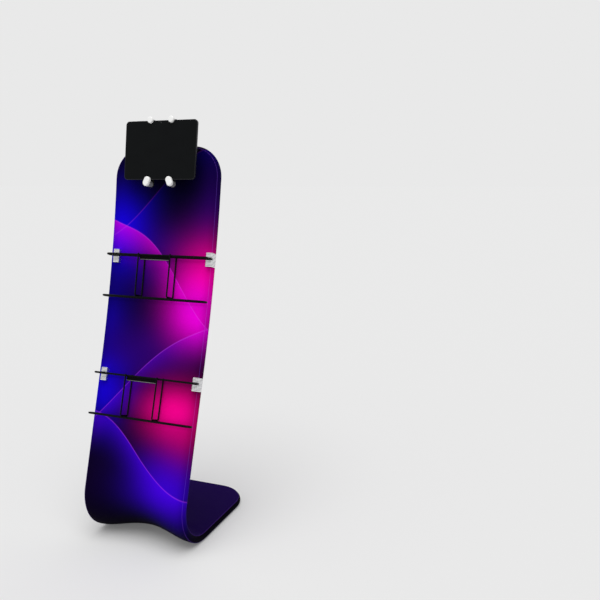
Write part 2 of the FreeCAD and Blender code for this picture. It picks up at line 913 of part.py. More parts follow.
def holder_parts():
    parts = {"tablet_case": tablet_case(), "tablet_glass": tablet_glass()}
    parts["holder_plate"] = holder_plate()
    parts["holder_bracket"] = holder_bracket()
    for side_name, side in sides.items():
        parts[side_name + "_holder_pad"] = holder_pad(side)
    sunk = post_screw_shapes(hole_gap)
    for (x, z), side_name in zip(post_points(), sides):
        front = plate_back() - seat_gap
        back = bracket_front() + seat_gap
        post = from_front(holder_place(), x, z, front, back, post_diameter / 2)
        parts[side_name + "_holder_post"] = post.cut(sunk)
    for name, x, z, diameter, lower in stems():
        parts[name + "_stem"] = stem(x, z, diameter)
        body = lower_cap(x, z) if lower else upper_cap(x, z)
        socket_end = tablet_front + cap_gap + cap_socket + seat_gap
        socket = from_front(holder_place(), x, z, socket_end, tablet_front, stem_tip_diameter / 2 + hole_gap)
        parts[name + "_cap"] = body.cut(socket)
    parts["holder_screws"] = Part.makeCompound(bracket_screw_shapes(0) + post_screw_shapes(0))
    return parts


def build():
    parts = {"fabric_cover": fabric_cover(), "base_zip": zip_strip(0)}
    parts.update(frame_parts())
    parts.update(rack_parts())
    parts.update(holder_parts())
    return parts


os.makedirs("parts", exist_ok=True)
for node, shape in build().items():
    solids = len(shape.Solids)
    print(node, solids, shape.isValid(), round(shape.Volume / 1000, 2), shape.BoundBox)
    shape.exportStep("parts/" + node + ".step")
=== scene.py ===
import json
import math

import bpy
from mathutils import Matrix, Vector


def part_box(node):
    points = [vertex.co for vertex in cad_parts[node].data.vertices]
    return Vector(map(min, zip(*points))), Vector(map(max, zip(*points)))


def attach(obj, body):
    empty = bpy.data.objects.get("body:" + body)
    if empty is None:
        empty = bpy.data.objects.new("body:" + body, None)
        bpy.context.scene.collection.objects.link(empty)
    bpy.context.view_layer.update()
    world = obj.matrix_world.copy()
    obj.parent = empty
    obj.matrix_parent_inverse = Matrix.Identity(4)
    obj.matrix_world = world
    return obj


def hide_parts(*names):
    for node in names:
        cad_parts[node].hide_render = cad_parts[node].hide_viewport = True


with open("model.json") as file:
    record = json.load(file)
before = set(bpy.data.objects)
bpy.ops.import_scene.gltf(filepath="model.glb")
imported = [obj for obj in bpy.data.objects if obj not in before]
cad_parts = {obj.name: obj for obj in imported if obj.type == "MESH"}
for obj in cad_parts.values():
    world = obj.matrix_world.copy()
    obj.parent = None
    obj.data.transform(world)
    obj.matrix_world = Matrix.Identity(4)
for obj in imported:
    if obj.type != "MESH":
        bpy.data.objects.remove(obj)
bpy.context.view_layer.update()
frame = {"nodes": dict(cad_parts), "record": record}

cadNodes = frame["nodes"]


# camera: solved from the panel's edges, the base, the rings and the tablet's corners
view = {
    "place": (1.1583, -1.8206, 1.1140),
    "tiltDown": 17.82,
    "turn": 21.14,
    "lens": 39.03,
    "sensor": 36.0,
    "shiftUp": 0.1553,
    "farthest": 1000.0,
}


def addCamera():
    lensData = bpy.data.cameras.new("studioCamera")
    lensData.lens = view["lens"]
    lensData.sensor_width = view["sensor"]
    lensData.shift_y = view["shiftUp"]
    lensData.clip_end = view["farthest"]
    camera = bpy.data.objects.new("studioCamera", lensData)
    bpy.context.scene.collection.objects.link(camera)
    camera.location = view["place"]
    camera.rotation_euler = (math.radians(90 - view["tiltDown"]), 0, math.radians(view["turn"]))
    bpy.context.scene.camera = camera


addCamera()
print("camera placed")


# shader maths: a Wire is one socket, and expressions on it add nodes to the same tree
class Wire:
    def __init__(self, nodes, socket):
        self.nodes = nodes
        self.socket = socket

    def math(self, operation, *others, swap=False):
        values = (self,) + others
        if swap:
            values = values[::-1]
        return self.nodes.node("ShaderNodeMath", {"operation": operation}, dict(enumerate(values)))

    def __add__(self, other):
        return self.math("ADD", other)

    __radd__ = __add__

    def __sub__(self, other):
        return self.math("SUBTRACT", other)

    def __rsub__(self, other):
        return self.math("SUBTRACT", other, swap=True)

    def __mul__(self, other):
        return self.math("MULTIPLY", other)

    __rmul__ = __mul__

    def __truediv__(self, other):
        return self.math("DIVIDE", other)

    def __rtruediv__(self, other):
        return self.math("DIVIDE", other, swap=True)

    def __pow__(self, other):
        return self.math("POWER", other)

    def __rpow__(self, other):
        return self.math("POWER", other, swap=True)

    def sin(self):
        return self.math("SINE")

    def abs(self):
        return self.math("ABSOLUTE")

    def clamp(self):
        return self.math("MINIMUM", 1.0).math("MAXIMUM", 0.0)

    def ramp(self, low, high, start=0.0, end=1.0):
        # eased step between two values of this wire
        settings = {"interpolation_type": "SMOOTHSTEP"}
        sockets = {"Value": self, "From Min": low, "From Max": high, "To Min": start, "To Max": end}
        return self.nodes.node("ShaderNodeMapRange", settings, sockets)


class Nodes:
    def __init__(self, tree):
        self.tree = tree

    def node(self, kind, settings=None, sockets=None, output=0):
        made = self.tree.nodes.new(kind)
        for key, value in (settings or {}).items():
            setattr(made, key, value)
        for key, value in (sockets or {}).items():
            if isinstance(value, Wire):
                self.tree.links.new(value.socket, made.inputs[key])
            else:
                made.inputs[key].default_value = value
        return Wire(self, made.outputs[output])


class Paint(Nodes):
    def __init__(self, name, **constants):
        self.material = bpy.data.materials.new(name)
        self.material.use_nodes = True
        super().__init__(self.material.node_tree)
        self.shader = self.tree.nodes["Principled BSDF"]
        for socketName, value in constants.items():
            self.shader.inputs[socketName.replace("_", " ")].default_value = value

    def feed(self, **wires):
        for socketName, wire in wires.items():
            self.tree.links.new(wire.socket, self.shader.inputs[socketName.replace("_", " ")])

    def blend(self, share, first, second, mode="MIX"):
        settings = {"data_type": "RGBA", "blend_type": mode}
        return self.node("ShaderNodeMix", settings, {0: share, 6: first, 7: second}, 2)

    def place(self):
        # position in the frame, in metres
        return self.node("ShaderNodeNewGeometry")

    def noise(self, scale, detail=3.0, roughness=0.5, where=None):
        sockets = {"Vector": where or self.place(), "Scale": scale, "Detail": detail, "Roughness": roughness}
        return self.node("ShaderNodeTexNoise", {}, sockets)

    def bump(self, height, strength, distance):
        sockets = {"Height": height, "Strength": strength, "Distance": distance}
        return self.node("ShaderNodeBump", {}, sockets)


def linear(red, green, blue):
    # colour as written in a picture program, 0 to 255, turned into linear light
    def oneChannel(value):
        share = value / 255
        return share / 12.92 if share <= 0.04045 else ((share + 0.055) / 1.055) ** 2.4
    return (oneChannel(red), oneChannel(green), oneChannel(blue), 1.0)


# the cover's shape in metres and degrees: the same runs and radii as the frame inside
coverForm = {
    "tubeX": 0.175,
    "edgeRadius": 0.0125,
    "baseRun": 0.324,
    "bendRadius": 0.121,
    "lean": 20.0,
    "straightRun": 0.413,
    "bowRun": 0.583,
    "bowRadius": 4.077,
    "topCorner": 0.082,
    "topLeg": 0.008,
    "rearCorner": 0.099,
    "saddleDepth": 0.034,
    "saddleReach": 0.130,
    "seamDepth": 0.011,
    "tensionRipple": 0.0005,
    "rippleReach": 0.16,
    "rippleBeat": 95,
    "rippleSkew": 3,
}
clothMesh = {"columns": 41, "rows": 150, "cornerSteps": 18, "foldSteps": 5, "gussetSteps": 14, "weltSides": 8}
bendStart = coverForm["baseRun"]
bendRun = coverForm["bendRadius"] * math.radians(90 + coverForm["lean"])
panelStart = bendStart + bendRun
bowStart = panelStart + coverForm["straightRun"]
topStart = bowStart + coverForm["bowRun"]
coverEnd = topStart + coverForm["topLeg"] + coverForm["topCorner"]


def spine(along):
    # point and outer normal of the cover's middle surface, from the base's rear to the panel's top
    radius = coverForm["bendRadius"]
    floorHeight = coverForm["edgeRadius"]
    bendY = -coverForm["baseRun"] / 2
    if along <= bendStart:
        return Vector((0, -bendY - along, floorHeight)), Vector((0, 0, -1))
    centre = Vector((0, bendY, radius + floorHeight))
    if along <= panelStart:
        angle = (along - bendStart) / radius
        normal = Vector((0, -math.sin(angle), -math.cos(angle)))
        return centre + normal * radius, normal
    lean = math.radians(coverForm["lean"])
    normal = Vector((0, -math.cos(lean), math.sin(lean)))
    climb = Vector((0, math.sin(lean), math.cos(lean)))
    point = centre + normal * radius
    if along <= bowStart:
        return point + climb * (along - panelStart), normal
    bowCentre = point + climb * coverForm["straightRun"] + normal * coverForm["bowRadius"]
    lean -= min(along - bowStart, coverForm["bowRun"]) / coverForm["bowRadius"]
    normal = Vector((0, -math.cos(lean), math.sin(lean)))
    climb = Vector((0, math.sin(lean), math.cos(lean)))
    point = bowCentre - normal * coverForm["bowRadius"]
    return point + climb * max(0, along - topStart), normal


def saddle(across, along):
    # how far the cloth is drawn in between the side tubes
    length = bendRun + 2 * coverForm["saddleReach"]
    share = (along - bendStart + coverForm["saddleReach"]) / length
    if not 0 < share < 1:
        return 0.0
    place = min(1.0, abs(across) / coverForm["tubeX"])
    return coverForm["saddleDepth"] * math.sin(math.pi * share) ** 2 * (1 - place ** 2) ** 2


def clothPoint(across, along, outX, outAlong, roll):
    # roll 0 is the outer face, pi the inner one; out is the direction away from the cover's middle
    point, normal = spine(along)
    climb = normal.cross(Vector((1, 0, 0)))
    radius = coverForm["edgeRadius"]
    point = point + Vector((across, 0, 0)) - normal * saddle(across, along)
    outward = Vector((1, 0, 0)) * outX + climb * outAlong
    return point + normal * (radius * math.cos(roll)) + outward * (radius * math.sin(roll))


def rowPlaces():
    # rows from the base's rear to the panel's top: distance along, half width and outward direction
    rows = []
    rear = coverForm["rearCorner"]
    top = coverForm["topCorner"]
    half = coverForm["tubeX"]
    cornerSteps = clothMesh["cornerSteps"]
    for step in range(cornerSteps, 0, -1):
        angle = math.pi / 2 * step / cornerSteps
        width = half - rear + rear * math.cos(angle)
        rows.append((rear - rear * math.sin(angle), width, math.cos(angle), -math.sin(angle)))
    start, end = rear, coverEnd - top
    count = clothMesh["rows"]
    for step in range(count + 1):
        rows.append((start + (end - start) * step / count, half, 1.0, 0.0))
    for step in range(1, cornerSteps + 1):
        angle = math.pi / 2 * step / cornerSteps
        width = half - top + top * math.cos(angle)
        rows.append((end + top * math.sin(angle), width, math.cos(angle), math.sin(angle)))
    return rows


def outlineLoop():
    # the tubes' centreline as one closed loop of across, along and outward direction
    columns = clothMesh["columns"]
    rows = rowPlaces()
    loop = [(row[1], row[0], row[2], row[3]) for row in rows]
    topRow, rearRow = rows[-1], rows[0]
    for column in range(columns - 2, 0, -1):
        loop.append((topRow[1] * (2 * column / (columns - 1) - 1), topRow[0], 0.0, 1.0))
    loop += [(-row[1], row[0], -row[2], row[3]) for row in reversed(rows)]
    for column in range(1, columns - 1):
        loop.append((rearRow[1] * (2 * column / (columns - 1) - 1), rearRow[0], 0.0, -1.0))
    return loop


def seamRoll():
    return math.acos(coverForm["seamDepth"] / coverForm["edgeRadius"])


def meshObject(name, points, faces, prints=None, smooth=True):
    mesh = bpy.data.meshes.new(name)
    mesh.from_pydata(points, [], faces)
    if prints:
        layer = mesh.uv_layers.new(name="printPlane")
        for loop in mesh.loops:
            layer.data[loop.index].uv = prints[loop.vertex_index]
    for face in mesh.polygons:
        face.use_smooth = smooth
    mesh.validate()
    made = bpy.data.objects.new(name, mesh)
    bpy.context.scene.collection.objects.link(made)
    return made


def ripple(across, along):
    # slight tension waves that run from the side tubes into the cloth at the bend
    edge = abs(across) / coverForm["tubeX"]
    bend = math.exp(-((along - bendStart - bendRun / 2) / coverForm["rippleReach"]) ** 2)
    wave = math.sin(along * coverForm["rippleBeat"] + coverForm["rippleSkew"] * edge)
    wave *= math.sin(math.pi * min(1, edge)) ** 2
    return coverForm["tensionRipple"] * bend * wave


def coverSheet(name, inner):
    # one face of the cover, folded round the tubes as far as the seam
    columns = clothMesh["columns"]
    rollSteps = clothMesh["foldSteps"]
    rows = rowPlaces()
    points, prints, faces = [], [], []
    face = math.pi if inner else 0.0
    for along, width, outX, outAlong in rows:
        for column in range(columns):
            across = width * (2 * column / (columns - 1) - 1)
            point = clothPoint(across, along, 0, 0, face)
            point += spine(along)[1] * ripple(across, along)
            points.append(point)
            prints.append((across, along - panelStart))
    for row in range(len(rows) - 1):
        for column in range(columns - 1):
            first = row * columns + column
            faces.append((first, first + 1, first + columns + 1, first + columns))
    right = [row * columns + columns - 1 for row in range(len(rows))]
    top = [(len(rows) - 1) * columns + column for column in range(columns - 2, 0, -1)]
    left = [row * columns for row in reversed(range(len(rows)))]
    rear = list(range(1, columns - 1))
    previous = right + top + left + rear
    loop = outlineLoop()
    for step in range(1, rollSteps + 1):
        roll = seamRoll() * step / rollSteps
        reach = coverForm["edgeRadius"] * math.sin(roll)
        current = []
        for across, along, outX, outAlong in loop:
            current.append(len(points))
            points.append(clothPoint(across, along, outX, outAlong, abs(face - roll)))
            prints.append((across + outX * reach, along + outAlong * reach - panelStart))
        for index in range(len(loop)):
            after = (index + 1) % len(loop)
            faces.append((previous[index], current[index], current[after], previous[after]))
        previous = current
    if inner:
        faces = [quad[::-1] for quad in faces]
    return meshObject(name, points, faces, prints)


def gussetBand(name):
    # the strip between the two seams
    rollSteps = clothMesh["gussetSteps"]
    loop = outlineLoop()
    points, prints, faces = [], [], []
    first, last = seamRoll(), math.pi - seamRoll()
    for step in range(rollSteps + 1):
        roll = first + (last - first) * step / rollSteps
        reach = coverForm["edgeRadius"] * (math.sin(first) + roll - first)
        for across, along, outX, outAlong in loop:
            points.append(clothPoint(across, along, outX, outAlong, roll))
            prints.append((across + outX * reach, along + outAlong * reach - panelStart))
    size = len(loop)
    for step in range(rollSteps):
        for index in range(size):
            after = (index + 1) % size
            low, high = step * size, (step + 1) * size
            faces.append((low + index, high + index, high + after, low + after))
    return meshObject(name, points, faces, prints)


def tubeAlong(name, line, radius, sides, prints):
    # closed tube round a closed line of points, each with two directions square to the line
    points, faces, tubePrints = [], [], []
    for (centre, first, second), onPrint in zip(line, prints):
        for side in range(sides):
            angle = 2 * math.pi * side / sides
            points.append(centre + first * (radius * math.cos(angle)) + second * (radius * math.sin(angle)))
            tubePrints.append(onPrint)
    count = len(line)
    for index in range(count):
        low, high = index * sides, (index + 1) % count * sides
        for side in range(sides):
            near = (side + 1) % sides
            faces.append((low + side, low + near, high + near, high + side))
    return meshObject(name, points, faces, tubePrints)


welt = {"radius": 0.0009, "stand": 0.0003}


def seamWelt(name, inner):
    # raised seam allowance that runs all round the cover
    roll = math.pi - seamRoll() if inner else seamRoll()
    line, prints = [], []
    for across, along, outX, outAlong in outlineLoop():
        point, normal = spine(along)
        centre = clothPoint(across, along, outX, outAlong, roll)
        away = (centre - point - Vector((across, 0, 0))).normalized()
        climb = normal.cross(Vector((1, 0, 0)))
        forward = (climb * outX - Vector((1, 0, 0)) * outAlong).normalized()
        line.append((centre + away * welt["stand"], away, away.cross(forward)))
        prints.append((across, along - panelStart))
    return tubeAlong(name, line, welt["radius"], clothMesh["weltSides"], prints)


coverFront = coverSheet("coverFront", False)
coverBack = coverSheet("coverBack", True)
coverSide = gussetBand("coverSide")
frontWelt = seamWelt("frontWelt", False)
backWelt = seamWelt("backWelt", True)
print("cover sewn")


# printed cloth: flowing waves of light over deep blue and violet, drawn in the flat sheet's own metres
clothPrint = {
    # the glow is painted light: the cloth glows in its own print colours, though it is no lamp
    "glow": 0.12,
    "shine": 0.02,
    "night": (10, 0, 34),
    "violet": (70, 2, 170),
    "blue": (16, 0, 240),
    "indigo": (56, 0, 220),
    "magenta": (236, 0, 214),
    "pink": (255, 0, 140),
    "crimson": (170, 0, 66),
    "reverse": (24, 3, 66),
    "crest": (190, 60, 255),
    # the dark hem colour, also used for the painted shade behind the tablet and along the top
    "hemAndShade": (2, 0, 9),
    "thread": (150, 90, 255),
    # the shade behind the tablet: its place on the sheet, its reach both ways and its depth
    "tabletShade": {"across": 0.05, "height": 1.00, "wide": 0.17, "tall": 0.16, "depth": 0.96},
    # eased fades: two places on the sheet, then the share at each of them
    "topFade": (1.12, 0.94, 0.45, 1.0),
    "footFade": (-0.17, 0.04, 0.05, 1.0),
    "edgeFade": (0.205, 0.15, 0.60, 1.0),
    "reverseFade": (-0.60, -0.24, 0.98, 0.80),
    "undersideFade": (-0.22, -0.14, 0.95, 0.0),
    # all waves: strength, how fast their glow fades, the softness of their edge and the line along it
    "waveLight": 0.75,
    "waveFade": 2.6,
    "waveEdge": (-0.003, 0.002),
    "crestWidth": 0.0030,
    "crestLight": 0.50,
    # each wave: its crest's height and slope, its swing in metres and radians per metre, its glow's depth
    "waves": [
        {"height": 0.97, "slope": 0.60, "swing": 0.040, "beat": 12.0, "phase": 0.4,
         "glow": 0.17, "light": 0.55, "colour": "blue"},
        {"height": 0.74, "slope": -0.85, "swing": 0.034, "beat": 15.0, "phase": 2.0,
         "glow": 0.15, "light": 0.80, "colour": "magenta"},
        {"height": 0.40, "slope": 0.80, "swing": 0.030, "beat": 12.0, "phase": 1.1,
         "glow": 0.15, "light": 0.75, "colour": "violet"},
        {"height": 0.13, "slope": -0.55, "swing": 0.034, "beat": 14.0, "phase": 3.2,
         "glow": 0.16, "light": 0.85, "colour": "indigo"},
    ],
    # each spot of light: its place on the sheet, its reach both ways and its strength
    "spots": [
        {"across": -0.15, "height": 0.84, "wide": 0.10, "tall": 0.12, "light": 0.95, "colour": "blue"},
        {"across": 0.02, "height": 0.76, "wide": 0.10, "tall": 0.12, "light": 0.35, "colour": "violet"},
        {"across": -0.02, "height": 0.46, "wide": 0.14, "tall": 0.10, "light": 0.30, "colour": "violet"},
        {"across": 0.16, "height": 0.92, "wide": 0.08, "tall": 0.14, "light": 0.40, "colour": "violet"},
        {"across": 0.17, "height": 0.70, "wide": 0.10, "tall": 0.11, "light": 1.0, "colour": "pink"},
        {"across": 0.14, "height": 0.60, "wide": 0.09, "tall": 0.10, "light": 1.0, "colour": "magenta"},
        {"across": -0.19, "height": 0.56, "wide": 0.08, "tall": 0.10, "light": 0.30, "colour": "blue"},
        {"across": -0.17, "height": 0.33, "wide": 0.10, "tall": 0.10, "light": 0.75, "colour": "blue"},
        {"across": 0.11, "height": 0.28, "wide": 0.10, "tall": 0.075, "light": 1.0, "colour": "pink"},
        {"across": 0.16, "height": 0.22, "wide": 0.09, "tall": 0.09, "light": 0.70, "colour": "crimson"},
        {"across": 0.11, "height": 0.03, "wide": 0.12, "tall": 0.11, "light": 0.85, "colour": "indigo"},
    ],
}

# the cloth itself: fine knit, slow unevenness of the dye, puckers, and the welts' row of stitches
clothYarn = {
    "pitch": 0.0011,
    "rowShare": 0.8,
    "mottle": 240.0,
    "mottleShare": 0.10,
    "roughness": 0.66,
    "roughnessSwing": 0.12,
    "knitDepth": 0.5,
    "puckers": 18.0,
    "puckerDepth": 0.6,
    "bump": 0.25,
    "bumpDepth": 0.0004,
    "stitch": 0.0035,
    "stitchEdge": (-0.2, 0.5),
    "stitchShares": (0.55, 0.9),
}


def dye(name):
    return linear(*clothPrint[name])


def spotDistance(spot, across, height):
    # squared distance from a spot, in its own reaches
    sideways = (across - spot["across"]) / spot["wide"]
    upward = (height - spot["height"]) / spot["tall"]
    return sideways * sideways + upward * upward


def printColours(paint, across, height):
    # navy ground with eased spots of light, then waves that are sharp above and fade below
    colour = dye("night")
    for spot in clothPrint["spots"]:
        share = (math.e ** (spotDistance(spot, across, height) * -1.0)) * spot["light"]
        colour = paint.blend(share, colour, dye(spot["colour"]), "SCREEN")
    for wave in clothPrint["waves"]:
        swing = (across * wave["beat"] + wave["phase"]).sin() * wave["swing"]
        below = (across * wave["slope"] + swing + wave["height"]) - height
        fade = (1 - (below / wave["glow"]).clamp()) ** clothPrint["waveFade"]
        sharp = below.ramp(*clothPrint["waveEdge"])
        share = fade * sharp * (wave["light"] * clothPrint["waveLight"])
        colour = paint.blend(share, colour, dye(wave["colour"]), "SCREEN")
        crest = 1 - (below.abs() / clothPrint["crestWidth"]).clamp()
        share = crest * (clothPrint["crestLight"] * wave["light"])
        colour = paint.blend(share, colour, dye("crest"), "SCREEN")
    return colour


def knit(across, height):
    # two crossed waves of thread
    beat = 2 * math.pi / clothYarn["pitch"]
    return (across * beat).sin() * (height * (beat * clothYarn["rowShare"])).sin()


def clothMaterial(name, reverse=False, stitched=0.0):
    # the cloth's colour also glows at the print's glow strength: painted light
    paint = Paint(name, Specular_IOR_Level=clothPrint["shine"], Emission_Strength=clothPrint["glow"])
    plane = paint.node("ShaderNodeUVMap", {"uv_map": "printPlane"})
    across = paint.node("ShaderNodeSeparateXYZ", {}, {0: plane}, 0)
    height = paint.node("ShaderNodeSeparateXYZ", {}, {0: plane}, 1)
    colour = printColours(paint, across, height)
    # painted shade behind the tablet and along the top; the colour also darkens down to the bend and towards
    # both edges
    shade = clothPrint["tabletShade"]
    paintedShade = 1 - shade["depth"] * (math.e ** (spotDistance(shade, across, height) * -1.0))
    top = paintedShade * height.ramp(*clothPrint["topFade"])
    foot = height.ramp(*clothPrint["footFade"])
    edges = across.abs().ramp(*clothPrint["edgeFade"])
    colour = paint.blend(top * foot * edges, dye("hemAndShade"), colour)
    if reverse:
        colour = paint.blend(height.ramp(*clothPrint["reverseFade"]), colour, dye("reverse"))
    else:
        colour = paint.blend(height.ramp(*clothPrint["undersideFade"]), colour, dye("hemAndShade"))
    if stitched:
        low, swing = clothYarn["stitchShares"]
        beat = 2 * math.pi / clothYarn["stitch"]
        stitch = ((across + height) * beat).sin().ramp(*clothYarn["stitchEdge"])
        colour = paint.blend(stitched * (low + swing * stitch), colour, dye("thread"))
    mottled = paint.noise(clothYarn["mottle"], 2.0)
    colour = paint.blend(clothYarn["mottleShare"] * mottled, colour, linear(0, 0, 0))
    puckers = paint.noise(clothYarn["puckers"], 2.0)
    relief = knit(across, height) * clothYarn["knitDepth"] + puckers * clothYarn["puckerDepth"]
    paint.feed(Base_Color=colour, Emission_Color=colour)
    paint.feed(Normal=paint.bump(relief, clothYarn["bump"], clothYarn["bumpDepth"]))
    paint.feed(Roughness=clothYarn["roughness"] + clothYarn["roughnessSwing"] * mottled)
    return paint.material


def dress(piece, material):
    piece.data.materials.clear()
    piece.data.materials.append(material)
    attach(piece, "root")


frontCloth = clothMaterial("printedCloth")
reverseCloth = clothMaterial("reverseCloth", reverse=True)
weltCloth = clothMaterial("weltCloth", stitched=0.14)
for piece, material in (
    (coverFront, frontCloth),
    (coverBack, reverseCloth),
    (coverSide, frontCloth),
    (frontWelt, weltCloth),
    (backWelt, weltCloth),
):
    dress(piece, material)
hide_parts("fabric_cover")
print("cover dyed")


# powder coat: fine paler specks, with their share, roughness swing and relief
coat = {"paler": 1.6, "least": 0.002, "share": 0.6, "matt": 0.16, "bump": 0.25, "bumpDepth": 0.0003}


def powderCoat(name, colour, roughness=0.42, grain=900.0, shine=0.5):
    paint = Paint(name, Specular_IOR_Level=shine)
    speck = paint.noise(grain)
    base = linear(*colour)
    paler = tuple(min(1.0, channel * coat["paler"] + coat["least"]) for channel in base[:3]) + (1.0,)
    paint.feed(Base_Color=paint.blend(speck * coat["share"], base, paler))
    paint.feed(Roughness=roughness - coat["matt"] / 2 + coat["matt"] * speck)
    paint.feed(Normal=paint.bump(speck, coat["bump"], coat["bumpDepth"]))
    return paint.material


# brushed metal: long fine lines and smudges, both a little darker
brush = {
    "stretch": (1.0, 1.0, 40.0),
    "lines": 60.0,
    "lineShare": 0.5,
    "smudges": 70.0,
    "smudgeShare": 0.3,
    "darker": 0.72,
    "polish": 0.10,
    "matt": 0.22,
    "bump": 0.12,
    "bumpDepth": 0.0003,
}


def brushedMetal(name, colour, roughness):
    paint = Paint(name, Metallic=1.0)
    operation = {"operation": "MULTIPLY"}
    stretched = paint.node("ShaderNodeVectorMath", operation, {0: paint.place(), 1: brush["stretch"]})
    lines = paint.noise(brush["lines"], 4.0, 0.6, stretched)
    smudge = paint.noise(brush["smudges"], 2.0)
    base = linear(*colour)
    darker = tuple(channel * brush["darker"] for channel in base[:3]) + (1.0,)
    share = brush["lineShare"] * lines + brush["smudgeShare"] * smudge
    paint.feed(Base_Color=paint.blend(share, base, darker))
    paint.feed(Roughness=roughness - brush["polish"] + brush["matt"] * lines)
    paint.feed(Normal=paint.bump(lines, brush["bump"], brush["bumpDepth"]))
    return paint.material


# moulded plastic: slow clouding and a very fine grain
mould = {
    "clouds": 120.0,
    "cloudShare": 0.5,
    "darker": 0.9,
    "matt": 0.10,
    "grain": 2400.0,
    "bump": 0.08,
    "bumpDepth": 0.0002,
}


def mouldedPlastic(name, colour, roughness=0.35, glow=0.0):
    # glow is a painted glow that brightens pale plastic, though it is no lamp
    base = linear(*colour)
    paint = Paint(name, Specular_IOR_Level=0.5, Emission_Color=base, Emission_Strength=glow)
    clouds = paint.noise(mould["clouds"])
    grain = paint.noise(mould["grain"], 2.0)
    shade = tuple(channel * mould["darker"] for channel in base[:3]) + (1.0,)
    paint.feed(Base_Color=paint.blend(clouds * mould["cloudShare"], base, shade))
    paint.feed(Roughness=roughness + mould["matt"] * clouds)
    paint.feed(Normal=paint.bump(grain, mould["bump"], mould["bumpDepth"]))
    return paint.material


# the tablet's glass, clean and smeared
glass = {
    "clean": (19, 21, 22),
    "smeared": (16, 17, 18),
    "smears": 26.0,
    "roughness": 0.05,
    "matt": 0.09,
    "shine": 0.04,
}


def tabletGlass():
    paint = Paint("tabletGlass", Specular_IOR_Level=glass["shine"])
    smears = paint.noise(glass["smears"])
    paint.feed(Base_Color=paint.blend(smears, linear(*glass["clean"]), linear(*glass["smeared"])))
    paint.feed(Roughness=glass["roughness"] + glass["matt"] * smears)
    return paint.material


# the two racks: how far up the panel each one's upper ring sits, and half the drop between its rings
racks = {"runs": {"lower": 0.375, "upper": 0.7578}, "halfDrop": 0.066}


# ribbed clips: painted shade in the grooves makes them read darker than the bright faces between them
ribs = {
    "low": 0.0235,
    "pitch": 0.004,
    "edge": (0.20, 0.85),
    # painted shade in the grooves, and its share
    "grooveShade": (52, 52, 56),
    "grooveShadeShare": 0.92,
    "face": (254, 254, 255),
    "worn": (214, 214, 218),
    "wornShare": 0.4,
    "smudges": 90.0,
    "roughness": 0.30,
    "matt": 0.16,
}


def ribbedMetal(name, run):
    paint = Paint(name, Metallic=1.0)
    point, normal = spine(panelStart + run)
    climb = normal.cross(Vector((1, 0, 0)))
    operation = {"operation": "DOT_PRODUCT"}
    rise = paint.node("ShaderNodeVectorMath", operation, {0: paint.place(), 1: climb[:]}, 1)
    height = rise - climb.dot(point) + ribs["low"]
    wave = (height * (2 * math.pi / ribs["pitch"]) + math.pi / 2).sin()
    groove = wave.ramp(*ribs["edge"])
    smudge = paint.noise(ribs["smudges"])
    colour = paint.blend(smudge * ribs["wornShare"], linear(*ribs["face"]), linear(*ribs["worn"]))
    # the grooves' dark colour is painted shade
    paint.feed(Base_Color=paint.blend(groove * ribs["grooveShadeShare"], colour, linear(*ribs["grooveShade"])))
    paint.feed(Roughness=ribs["roughness"] + ribs["matt"] * smudge)
    return paint.material


finishes = {
    "printed_cloth": frontCloth,
    "zip": mouldedPlastic("zipBlack", (22, 22, 24), 0.45),
    "frame_tube": powderCoat("frameGrey", (120, 122, 125), 0.5),
    "bright_steel": brushedMetal("zincSteel", (196, 197, 200), 0.34),
    "rack_wire": powderCoat("rackBlack", (2, 2, 3), 0.24, shine=0.07),
    "clip_metal": ribbedMetal("lowerClipMetal", racks["runs"]["lower"]),
    "tablet_shell": powderCoat("tabletShell", (20, 20, 24), 0.36, 2500.0, 0.25),
    "tablet_glass": tabletGlass(),
    "holder_black": powderCoat("holderBlack", (20, 20, 21), 0.45),
    "pad_rubber": powderCoat("padRubber", (18, 18, 19), 0.75, 1500.0, 0.2),
    # the knobs' last number is their painted glow
    "knob_white": mouldedPlastic("knobWhite", (252, 252, 251), 0.32, 0.06),
}
for entry in frame["record"]["subparts"]:
    node = cadNodes[entry["node"]]
    node.data.materials.clear()
    node.data.materials.append(finishes[entry["material_slot"]])
stemGrey = mouldedPlastic("stemGrey", (138, 138, 140), 0.40)
for stemName in ("lower_left_stem", "lower_right_stem", "upper_left_stem", "upper_right_stem"):
    cadNodes[stemName].data.materials[0] = stemGrey
stripBlack = powderCoat("stripBlack", (2, 2, 3), 0.40, shine=0.04)
for stripName in ("lower_rack_label_strip", "upper_rack_label_strip"):
    cadNodes[stripName].data.materials[0] = stripBlack
upperClipMetal = ribbedMetal("upperClipMetal", racks["runs"]["upper"])
for clipName in ("upper_rack_left_clip", "upper_rack_right_clip"):
    cadNodes[clipName].data.materials[0] = upperClipMetal
print("finishes mixed")


# a place on the panel: run up it, across and ahead of its middle surface, and rise straight on from there
def panelPoint(run, across, ahead, rise=0.0):
    point, normal = spine(panelStart + run)
    climb = normal.cross(Vector((1, 0, 0)))
    return point + Vector((across, 0, 0)) + normal * ahead + climb * rise


def panelAxes(run):
    normal = spine(panelStart + run)[1]
    return Vector((1, 0, 0)), normal, normal.cross(Vector((1, 0, 0)))


